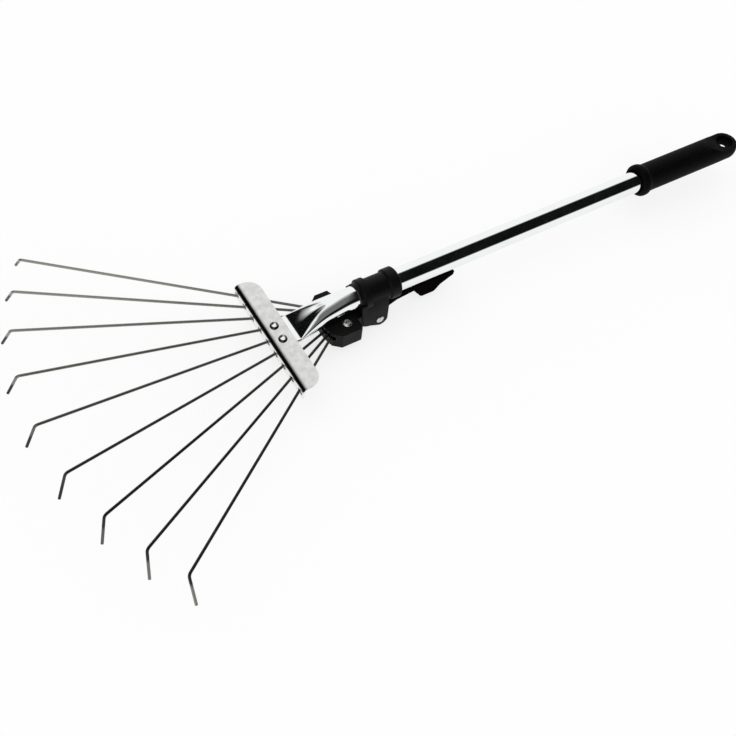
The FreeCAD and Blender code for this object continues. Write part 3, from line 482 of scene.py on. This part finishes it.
# %% Selecting and settling
def deselect():
    """Leaves edit mode and selects nothing."""
    if bpy.context.mode != "OBJECT":
        bpy.ops.object.mode_set(mode="OBJECT")
    bpy.ops.object.select_all(action="DESELECT")


def select_only(piece):
    """Makes a piece the one that is selected and active."""
    deselect()
    piece.select_set(True)
    bpy.context.view_layer.objects.active = piece


def pick_points(test):
    """Selects the vertices that pass the test, in edit mode, and nothing else."""
    bpy.ops.mesh.select_mode(type="VERT")
    bpy.ops.mesh.select_all(action="DESELECT")
    mesh = bmesh.from_edit_mesh(bpy.context.object.data)
    for vertex in mesh.verts:
        vertex.select_set(bool(test(vertex.co)))
    mesh.select_flush(True)
    bmesh.update_edit_mesh(bpy.context.object.data)


def settle(piece):
    """Puts a piece's place into its mesh, so that its object sits at the origin, unturned."""
    select_only(piece)
    bpy.ops.object.transform_apply(location=True, rotation=True, scale=True)


print("solids that the frame leaves selected:", len(bpy.context.selected_objects))


# %% Finishing and dressing
def apply_modifier(piece, kind, **settings):
    """Adds a modifier, sets it and applies it."""
    modifier = piece.modifiers.new(kind.lower(), kind)
    for name, value in settings.items():
        setattr(modifier, name, value)
    select_only(piece)
    bpy.ops.object.modifier_apply(modifier=modifier.name)


def smooth_faces(piece, degrees):
    """Shades a piece smooth, apart from edges sharper than so many degrees."""
    select_only(piece)
    bpy.ops.object.shade_smooth_by_angle(angle=math.radians(degrees))


def dress(piece, node):
    """Lets a piece stand for a solid: its body, its finish and its slot."""
    piece.data.materials.clear()
    piece.data.materials.append(OWN_FINISHES.get(node) or FINISHES[slots[node]])
    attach(piece, bodies[node])
    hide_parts(node)
    print("%-16s stands for %-14s %6d faces" % (piece.name, node, len(piece.data.polygons)))


print("bodies to ride on:", ", ".join(sorted(set(bodies.values()))))

# %% [markdown]
# ## Softened solids
# Comb, slider, holder, lever, shoe, wires and small parts have the right form already. Drawing
# them again would only risk a misfit. A copy of each is merged into one skin, its flat faces
# are joined, and a bevel rounds the edges: half a millimetre on mouldings, less on metal. The
# corner angle tells an edge from a facet of a round face, and it is wider on the wires, whose
# bends have coarse facets. Weighted normals keep the flat faces flat beside the small bevels.


# %% Softening the edges of a solid
MERGE = 0.002 * MM
FLAT = math.radians(0.4)
CORNER, WIRE_CORNER = 32, 50  # degrees


def soften(node, name, edge_mm, corner=CORNER):
    """A merged copy of a solid whose sharp edges are rounded by edge_mm."""
    piece = nodes[node].copy()
    piece.data = nodes[node].data.copy()
    piece.parent = None
    piece.name = piece.data.name = name
    bpy.context.scene.collection.objects.link(piece)
    select_only(piece)
    bpy.ops.object.mode_set(mode="EDIT")
    bpy.ops.mesh.select_all(action="SELECT")
    bpy.ops.mesh.remove_doubles(threshold=MERGE)
    bpy.ops.mesh.dissolve_limited(angle_limit=FLAT)
    bpy.ops.object.mode_set(mode="OBJECT")
    apply_modifier(piece, "BEVEL", width=edge_mm * MM, segments=2, limit_method="ANGLE",
                   angle_limit=math.radians(corner), use_clamp_overlap=True)
    smooth_faces(piece, corner)
    apply_modifier(piece, "WEIGHTED_NORMAL", keep_sharp=True)
    dress(piece, node)


for node in nodes:
    if node.startswith("tine_"):
        soften(node, node.replace("tine", "wire"), 0.25, WIRE_CORNER)
soften("comb_plate", "comb_sheet", 0.25)
soften("slider_body", "slider_moulding", 0.5)
soften("holder_base", "holder_lower_half", 0.5)
soften("cam_lever", "cam_lever_moulding", 0.5)
soften("brake_shoe", "brake_block", 0.3)
soften("holder_screws", "pan_head_screws", 0.2)
soften("holder_nuts", "hex_nuts", 0.3)
soften("cam_pin", "headed_pin", 0.2)
soften("pin_clip", "retaining_clip", 0.1)

# %% [markdown]
# ## Turned shapes
# Rivets, and the grip before it is flattened, are bodies of revolution. A lathe could spin a
# profile. Here a circle is drawn and then pulled out and resized ring by ring, the way one
# turns a shape by eye, because each step is a station and a radius that can be measured.


# %% The lathe
LATHE_SIDES = 64


def turned(name, steps, sides=LATHE_SIDES):
    """A closed turned shape along Z from (station, radius) steps, in metres."""
    deselect()
    height, radius = steps[0]
    bpy.ops.mesh.primitive_circle_add(vertices=sides, radius=radius, location=(0, 0, height),
                                      fill_type="TRIFAN")
    piece = bpy.context.object
    piece.name = piece.data.name = name
    bpy.ops.object.transform_apply(location=True)
    bpy.ops.object.mode_set(mode="EDIT")
    bpy.ops.mesh.select_mode(type="EDGE")
    bpy.ops.mesh.select_all(action="DESELECT")
    mesh = bmesh.from_edit_mesh(piece.data)
    for edge in mesh.edges:
        edge.select_set(len(edge.link_faces) < 2)
    bmesh.update_edit_mesh(piece.data)
    for following, size in steps[1:]:
        bpy.ops.mesh.extrude_edges_move(
            TRANSFORM_OT_translate={"value": (0, 0, following - height)})
        bpy.ops.transform.resize(value=(size / radius, size / radius, 1),
                                 center_override=(0, 0, following))
        height, radius = following, size
    bpy.ops.mesh.edge_face_add()
    bpy.ops.mesh.poke()
    bpy.ops.mesh.select_all(action="SELECT")
    bpy.ops.mesh.normals_make_consistent(inside=False)
    bpy.ops.object.mode_set(mode="OBJECT")
    return piece


flatness = head_radius * (1 - math.cos(math.pi / LATHE_SIDES))
print("a rivet with", LATHE_SIDES, "sides is round to", round(flatness / MM, 4), "mm")

# %% [markdown]
# ## The comb's rivets
# Two steel rivets hold the comb on the tube's pressed end. They are taken to be blind rivets,
# which have a low dome with a hole in its middle, where the end of the broken pulling pin
# shows. A flattened ball could stand for the dome, but it would have no hole and no shoulder.
# The turned shape has both. The dark ring is a painted reflection in the finish.

# %% Rivets
DOME_SEAT = 0.2 * MM  # how far the dome reaches into the sheet
DOME = [(0.15, 1.0), (0.55, 0.93), (0.85, 0.84), (0.97, 0.75), (1.0, 0.69),  # shoulder
        (0.96, 0.63), (0.6, 0.53), (0.5, 0.47), (0.5, 0.2)]  # hole: shares of rise and radius
TAIL = [(0.0, 0.6), (0.35, 0.82), (0.72, 0.86)]  # the upset end below, in the same shares
TAIL_NECK = 0.56
RIVET_CREASE = 40  # degrees: flatter edges are shaded smooth

seat = comb_top - DOME_SEAT
rise = rivet_high.z - comb_top
rivets = []
for side in (-1, 1):
    dome = turned("rivet_dome", [(seat, head_radius)] + [
        (comb_top + up * rise, out * head_radius) for up, out in DOME])
    tail = turned("rivet_tail", [
        (rivet_low.z + up * rise, out * head_radius) for up, out in TAIL] + [
        (seat, TAIL_NECK * head_radius)])
    for piece in (dome, tail):
        piece.location = (rivet_x, side * rivet_y, 0)
        settle(piece)
        rivets.append(piece)
deselect()
for piece in rivets:
    piece.select_set(True)
bpy.context.view_layer.objects.active = rivets[0]
bpy.ops.object.join()
rivet_pair = bpy.context.object
rivet_pair.name = rivet_pair.data.name = "comb_rivet_pair"
smooth_faces(rivet_pair, RIVET_CREASE)
dress(rivet_pair, "comb_rivets")

# %% [markdown]
# ## The chromed tube
# The handle is one length of round tube. Its front end is pressed flat and flares like a
# fish's tail, with a flat face on top between two soft creases. A loft between two outlines
# would show as facets, so the tube is built as a row of sections, 2 mm apart where it changes.
# Each section is a circle whose two halves are slid apart, and bridging the row makes the skin.

# %% Tube sections
TUBE_SIDES = 96
tube_low, tube_high = [Vector(corner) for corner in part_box("handle_tube")]
TUBE_RADIUS = tube_high.z
SHEET = 1.4 * MM  # thickness of the comb, which lies on the pressed end
PRESSED = 2.8 * MM  # thickness of the pressed end
PRESSED_LEVEL = comb_top - SHEET - PRESSED / 2
PRESS_END = 25.8 * MM
FORMED = [  # distance behind the comb's front, half width, half height, level of the middle
    (0.0, 16.0 * MM, PRESSED / 2, PRESSED_LEVEL),
    (PRESS_END, 16.0 * MM, PRESSED / 2, PRESSED_LEVEL),
    (51.8 * MM, 12.8 * MM, 9.0 * MM, 9.0 * MM - TUBE_RADIUS),
    (79.8 * MM, TUBE_RADIUS, TUBE_RADIUS, 0.0),
    (600.0 * MM, TUBE_RADIUS, TUBE_RADIUS, 0.0),
]
CROWN = 0.9 * MM  # how much the top bulges between the press and the middle of the flare
EASE = 6 * MM  # how far each way a section is averaged
EASE_GROWTH = 0.25  # and how fast that grows behind the press


def straight_section(reach):
    """Half width, half height and level of the tube at a distance behind the comb's front."""
    for first, second in zip(FORMED, FORMED[1:]):
        if reach <= second[0]:
            part = (reach - first[0]) / (second[0] - first[0])
            values = [one + (two - one) * part for one, two in zip(first[1:], second[1:])]
            if first is FORMED[1]:
                crown = CROWN * math.sin(math.pi * part) / 2
                values = [values[0], values[1] + crown, values[2] + crown]
            return values


def eased_section(reach):
    """The same, averaged over a few millimetres each way, which rounds the changes of slope."""
    spread = min(EASE, max(0.0, EASE_GROWTH * (reach - PRESS_END)))
    near_by = [straight_section(reach + spread * part) for part in (-1, -0.5, 0, 0.5, 1)]
    return [sum(values) / len(near_by) for values in zip(*near_by)]


TINY = 1e-6  # a thousandth of a millimetre, less than any real step here
STEPS = [22, 24, 25.3, 25.8, 26.3, 27, *range(28, 92, 2)]  # millimetres behind the front
STATIONS = [tube_low.x] + [comb_front + step * MM for step in STEPS] + [tube_high.x]
print("tube sections:", len(STATIONS))

# %% [markdown]
# ## The hollow in the pressed face
# A light streak runs along the flat face on top, and a slight hollow there mirrors one. A
# press can leave such a hollow, but how deep the real one is isn't known. A lattice could bend
# the face, but the hollow is a plain wave each way. So the face is cut into narrow strips
# between its creases, and each point is lowered by the wave's height there.

# %% Pressing the top
DISH_START, DISH_END = 26 * MM, 60 * MM  # behind the comb's front
DISH_DEPTH = 0.9 * MM
DISH_CUTS = 15


def dish_top():
    """Cuts the flat top face into strips and presses it in, most in the middle."""
    mesh = bmesh.from_edit_mesh(bpy.context.object.data)
    bpy.ops.mesh.select_mode(type="EDGE")
    bpy.ops.mesh.select_all(action="DESELECT")
    for edge in mesh.edges:
        one, two = edge.verts[0].co, edge.verts[1].co
        level = eased_section(one.x - comb_front)[2]
        across = abs(one.x - two.x) < TINY and one.y * two.y < 0
        edge.select_set(across and one.z > level and one.x < comb_front + DISH_END)
    bmesh.update_edit_mesh(bpy.context.object.data)
    bpy.ops.mesh.subdivide(number_cuts=DISH_CUTS)
    mesh = bmesh.from_edit_mesh(bpy.context.object.data)
    for vertex in mesh.verts:
        reach = vertex.co.x - comb_front
        half_width, half_height, level = eased_section(reach)
        side = abs(vertex.co.y) / max(half_width - half_height, TINY)
        if vertex.co.z > level and side < 1 and DISH_START < reach < DISH_END:
            length = math.sin(math.pi * (reach - DISH_START) / (DISH_END - DISH_START))
            vertex.co.z -= DISH_DEPTH * length * (1 + math.cos(math.pi * side)) / 2
    bmesh.update_edit_mesh(bpy.context.object.data)


print("the hollow is", round((DISH_END - DISH_START) / MM), "mm long")

# %% Tube
TUBE_CREASE = 35  # degrees: flatter edges are shaded smooth
deselect()
bpy.ops.mesh.primitive_circle_add(vertices=TUBE_SIDES, radius=TUBE_RADIUS)
tube = bpy.context.object
tube.name = tube.data.name = "chromed_tube"
bpy.ops.object.mode_set(mode="EDIT")
bpy.ops.mesh.select_all(action="SELECT")
bpy.ops.mesh.delete(type="VERT")  # the first circle only opened a mesh at the origin
for station in STATIONS:
    half_width, half_height, level = eased_section(station - comb_front)
    middle = (station, 0, level)
    bpy.ops.mesh.primitive_circle_add(vertices=TUBE_SIDES, radius=half_height, location=middle,
                                      rotation=(0, math.pi / 2, 0))
    bpy.ops.transform.rotate(value=math.pi / TUBE_SIDES, orient_axis="X", center_override=middle)
    for side in (-1, 1):
        pick_points(lambda at: abs(at.x - station) < TINY and side * at.y > 0)
        bpy.ops.transform.translate(value=(0, side * (half_width - half_height), 0))
bpy.ops.mesh.select_all(action="SELECT")
bpy.ops.mesh.bridge_edge_loops()
dish_top()
for end in (STATIONS[0], STATIONS[-1]):
    pick_points(lambda at: abs(at.x - end) < TINY)
    bpy.ops.mesh.edge_face_add()
bpy.ops.mesh.select_all(action="SELECT")
bpy.ops.mesh.normals_make_consistent(inside=False)
bpy.ops.object.mode_set(mode="OBJECT")
smooth_faces(tube, TUBE_CREASE)
dress(tube, "handle_tube")

# %% [markdown]
# ## The grip
# The grip is pulled over the tube's end. It starts as a turned shape: a dished flange that
# stops the hand, a plain body and a round end. It could be sculpted whole, but its rear is
# a ball with straight cuts. So two wedges are cut away, which leaves a flat tongue, and the
# hanging hole with its two recesses is bored through it. Booleans do these cuts as a cutter
# would, and a bevel softens what they leave.

# %% Grip blank
grip_low, grip_high = [Vector(corner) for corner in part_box("hand_grip")]
grip_front = grip_low.x
END_RADIUS = grip_high.x
BODY = 14.3 * MM  # radius of the body just behind the flange
FLANGE = grip_high.z - 0.01 * MM  # radius of the flange, a hair inside its solid
FLANGE_ROUND = 4 * MM  # the flange's rim is rounded with this radius
FLANGE_WIDTH = 6.5 * MM
NECK_STEPS = 8
NECK_STEP = 0.75 * MM  # the flange runs into the body along a wave of so many such steps
BORE, BORE_DEPTH = TUBE_RADIUS + 0.03 * MM, FLANGE_ROUND
MOUTH, MOUTH_DEPTH = TUBE_RADIUS + 0.1 * MM, 3 * MM  # the bore opens into a dished front
RIM, RIM_DEPTH = FLANGE - 3.9 * MM, 0.5 * MM  # which ends where the rim's rounding starts
RIM_ANGLES = (-80, -60, -40, -20, 0)  # degrees before the rim's widest place
BODY_SHARES = (0.7, 0.5, 0.3, 0.12)  # rings along the body, in shares of its length
END_ANGLES = range(0, 88, 6)  # degrees round the ball at the end
profile = [(grip_front + BORE_DEPTH, BORE), (grip_front + MOUTH_DEPTH, MOUTH),
           (grip_front + RIM_DEPTH, RIM)]
for degrees in RIM_ANGLES:
    angle = math.radians(degrees)
    profile.append((grip_front + FLANGE_ROUND + FLANGE_ROUND * math.sin(angle),
                    FLANGE - FLANGE_ROUND + FLANGE_ROUND * math.cos(angle)))
for step in range(NECK_STEPS + 1):
    part = (1 + math.cos(math.pi * step / NECK_STEPS)) / 2
    profile.append((grip_front + FLANGE_WIDTH + NECK_STEP * step, BODY + (FLANGE - BODY) * part))
profile += [(grip_front * part, END_RADIUS + (BODY - END_RADIUS) * part)
            for part in BODY_SHARES]
profile += [(END_RADIUS * math.sin(math.radians(degrees)),
             END_RADIUS * math.cos(math.radians(degrees))) for degrees in END_ANGLES]
grip = turned("grip_sleeve", profile, sides=TUBE_SIDES)
grip.rotation_euler = (0, math.pi / 2, 0)
settle(grip)
print("grip profile has", len(profile), "stations")

# %% Grip cuts
TONGUE = 6.2 * MM  # half thickness of the flat tongue
RAMP_START, RAMP_END = -30 * MM, -9 * MM  # where the slope down to it starts and ends
WEDGE_LENGTH, WEDGE_HEIGHT = 60 * MM, 20 * MM
HOLE_RADIUS, HOLE_HALF_LENGTH = 4.5 * MM, 2.8 * MM
RECESS_RADIUS = 8.8 * MM
GRIP_EDGE = 0.7 * MM  # radius of the softened edges
GRIP_CORNER, GRIP_CREASE = 38, 40  # degrees: sharper edges are rounded, or left unsmoothed
NEARLY = 0.1 * MM
cutters = []
for side in (-1, 1):
    deselect()
    bpy.ops.mesh.primitive_cube_add(size=1)
    wedge = bpy.context.object
    wedge.scale = (WEDGE_LENGTH, WEDGE_LENGTH, WEDGE_HEIGHT)
    wedge.location = (RAMP_END + WEDGE_LENGTH / 2, 0, side * (TONGUE + WEDGE_HEIGHT / 2))
    settle(wedge)
    bpy.ops.object.mode_set(mode="EDIT")
    pick_points(lambda at: at.x < RAMP_END + NEARLY and abs(at.z) > TONGUE + NEARLY)
    slope = (RAMP_START - RAMP_END) / (END_RADIUS - TONGUE) * WEDGE_HEIGHT
    bpy.ops.transform.translate(value=(slope, 0, 0))
    bpy.ops.object.mode_set(mode="OBJECT")
    cutters.append(wedge)
cutters.append(turned("spool_cutter", [
    (-WEDGE_HEIGHT, RECESS_RADIUS), (-HOLE_HALF_LENGTH, RECESS_RADIUS),
    (-HOLE_HALF_LENGTH, HOLE_RADIUS), (HOLE_HALF_LENGTH, HOLE_RADIUS),
    (HOLE_HALF_LENGTH, RECESS_RADIUS), (WEDGE_HEIGHT, RECESS_RADIUS)]))
for cutter in cutters:
    apply_modifier(grip, "BOOLEAN", operation="DIFFERENCE", solver="EXACT", object=cutter)
    bpy.data.objects.remove(cutter)
apply_modifier(grip, "BEVEL", width=GRIP_EDGE, segments=3, limit_method="ANGLE",
               angle_limit=math.radians(GRIP_CORNER), use_clamp_overlap=True)
smooth_faces(grip, GRIP_CREASE)
dress(grip, "hand_grip")

# %% [markdown]
# ## Floor
# The rake lies on plain white paper. A white sheet under plain light comes out a little grey.
# More light would bleach the rake, so the paper glows instead, but only for rays that come
# straight from the camera or by way of a mirror. The light on the rake stays as it is, and a
# quarter of the paper's shade remains, which keeps the rake's soft shadow.

# %% White paper
PAPER_SIZE = 12
PAPER_DROP = 0.2 * MM  # below the lowest point of the rake
PAPER_PLACE = (-0.4, 0, cad_box[0][2] - PAPER_DROP)
GLOW_SHARE = 0.75
deselect()
bpy.ops.mesh.primitive_plane_add(size=PAPER_SIZE, location=PAPER_PLACE)
floor = bpy.context.object
floor.name = "floor"
settle(floor)
material = bpy.data.materials.new("white_paper")
material.use_nodes = True
tree = material.node_tree
tree.nodes.clear()
seen = add_node(tree, "ShaderNodeLightPath")
paper = add_node(tree, "ShaderNodeBsdfDiffuse", {"Color": paint("fbfbfb")})
bright = add_node(tree, "ShaderNodeEmission", {"Color": paint("ffffff"), "Strength": 1.0})
direct = add_node(tree, "ShaderNodeMath", {
    0: seen.outputs["Is Camera Ray"], 1: seen.outputs["Is Glossy Ray"]}, operation="MAXIMUM")
share = add_node(tree, "ShaderNodeMath", {0: direct, 1: GLOW_SHARE}, operation="MULTIPLY")
mixed = add_node(tree, "ShaderNodeMixShader", {0: share, 1: paper, 2: bright})
add_node(tree, "ShaderNodeOutputMaterial", {"Surface": mixed})
floor.data.materials.append(material)
print("paper lies at", round(floor.data.vertices[0].co.z / MM, 2), "mm")

# %% [markdown]
# ## Light and surroundings
# The light is the same from everywhere, which shows the colours as they are. But a mirror needs
# something dark to look like metal. Black boards could stand in the room, but they would shade
# the rake and show in other views. So the world has black cloth flags that only mirrors can
# see: a long one overhead, toward the near side, which ends in a grey net toward the tines, and
# two on the far left, which darken the pressed end of the tube. Their places were found by
# trial, until the reflections fell where they belong. A direction is on a flag when it comes
# within an angle of the flag's middle, and a ramp makes the edge soft.


# %% World
FLAG_TURN = math.radians(34)  # turn of the long flag's middle from straight up to the near side
FLAG_MIDDLE = (0, -math.sin(FLAG_TURN), math.cos(FLAG_TURN))
FLAG_EDGE = (0.54, 0.69)  # cosines of the angles between which its edge darkens
FLAG_END = (-0.18, -0.36)  # where the long flag stops toward the tines
BACK_FLAG_WAY = Vector((-0.80, 0.56, 0.18)).normalized()
BACK_FLAG_EDGE = (0.653, 0.824)
SIDE_FLAG_WAY = Vector((-0.36, 0.70, 0.62)).normalized()
SIDE_FLAG_EDGE = (0.90, 0.985)
NET_END = (0.36, 0.27)  # where the long flag's cloth gives way to the net
NET_FOOT = (0.36, 0.44)  # how low the net hangs
NET_SLANT = 0.45  # and how much lower it hangs toward the tines
NET_FADE = (-0.12, 0.42)  # the net grows thinner from the near side to the far one
NET_LIGHT = (0.16, 0.85)  # the share of light that it lets through on each side

world = bpy.data.worlds.new("studio")
bpy.context.scene.world = world
world.use_nodes = True
tree = world.node_tree
tree.nodes.clear()
way = add_node(tree, "ShaderNodeTexCoord").outputs["Generated"]
split = add_node(tree, "ShaderNodeSeparateXYZ", {0: way})


def facing(direction, toward, edge):
    """From 0 to 1 as a direction comes within an angle of another, with a soft edge."""
    along = add_node(tree, "ShaderNodeVectorMath", {0: direction, 1: toward},
                     operation="DOT_PRODUCT")
    return add_node(tree, "ShaderNodeMapRange", {
        "Value": along.outputs["Value"], "From Min": edge[0], "From Max": edge[1]})


flat_way = add_node(tree, "ShaderNodeVectorMath", {0: way, 1: (0, 1, 1)}, operation="MULTIPLY")
flat_way = add_node(tree, "ShaderNodeVectorMath", {0: flat_way}, operation="NORMALIZE")
long_flag = facing(flat_way, FLAG_MIDDLE, FLAG_EDGE)
covered = add_node(tree, "ShaderNodeMapRange", {
    "Value": split.outputs["X"], "From Min": FLAG_END[0], "From Max": FLAG_END[1],
    "To Min": 1.0, "To Max": 0.0})
long_flag = add_node(tree, "ShaderNodeMath", {0: long_flag, 1: covered}, operation="MULTIPLY")
back_flag = facing(way, BACK_FLAG_WAY, BACK_FLAG_EDGE)
side_flag = facing(way, SIDE_FLAG_WAY, SIDE_FLAG_EDGE)
small_flags = add_node(tree, "ShaderNodeMath", {0: back_flag, 1: side_flag},
                       operation="MAXIMUM")
print("long flag centred", round(math.degrees(FLAG_TURN)), "degrees from overhead")

# %% The net and the light
lean = add_node(tree, "ShaderNodeMath", {0: split.outputs["X"], 1: NET_SLANT},
                operation="MULTIPLY")
foot = add_node(tree, "ShaderNodeMath", {0: split.outputs["Z"], 1: lean}, operation="SUBTRACT")
above_foot = add_node(tree, "ShaderNodeMapRange", {
    "Value": foot, "From Min": NET_FOOT[0], "From Max": NET_FOOT[1]})
toward_tines = add_node(tree, "ShaderNodeMapRange", {
    "Value": split.outputs["X"], "From Min": NET_END[0], "From Max": NET_END[1]})
thinness = add_node(tree, "ShaderNodeMapRange", {
    "Value": split.outputs["Y"], "From Min": NET_FADE[0], "From Max": NET_FADE[1],
    "To Min": NET_LIGHT[0], "To Max": NET_LIGHT[1]})
net = add_node(tree, "ShaderNodeMath", {0: toward_tines, 1: above_foot}, operation="MULTIPLY")
net = add_node(tree, "ShaderNodeMath", {0: net, 1: thinness}, operation="MULTIPLY")
cloth = add_node(tree, "ShaderNodeMath", {0: 1.0, 1: net}, operation="SUBTRACT")
long_flag = add_node(tree, "ShaderNodeMath", {0: long_flag, 1: cloth}, operation="MULTIPLY")
flags = add_node(tree, "ShaderNodeMath", {0: long_flag, 1: small_flags}, operation="MAXIMUM")
seen = add_node(tree, "ShaderNodeLightPath")
dark = add_node(tree, "ShaderNodeMath", {0: flags, 1: seen.outputs["Is Glossy Ray"]},
                operation="MULTIPLY")
colour = add_node(tree, "ShaderNodeMix", {
    0: dark, COLOUR_A: paint("ffffff"), COLOUR_B: paint("0d0d0e")}, data_type="RGBA")
back = add_node(tree, "ShaderNodeBackground", {
    "Color": colour.outputs[COLOUR_OUT], "Strength": 1.0})
add_node(tree, "ShaderNodeOutputWorld", {"Surface": back})
print("the net lets", NET_LIGHT, "of the light through")
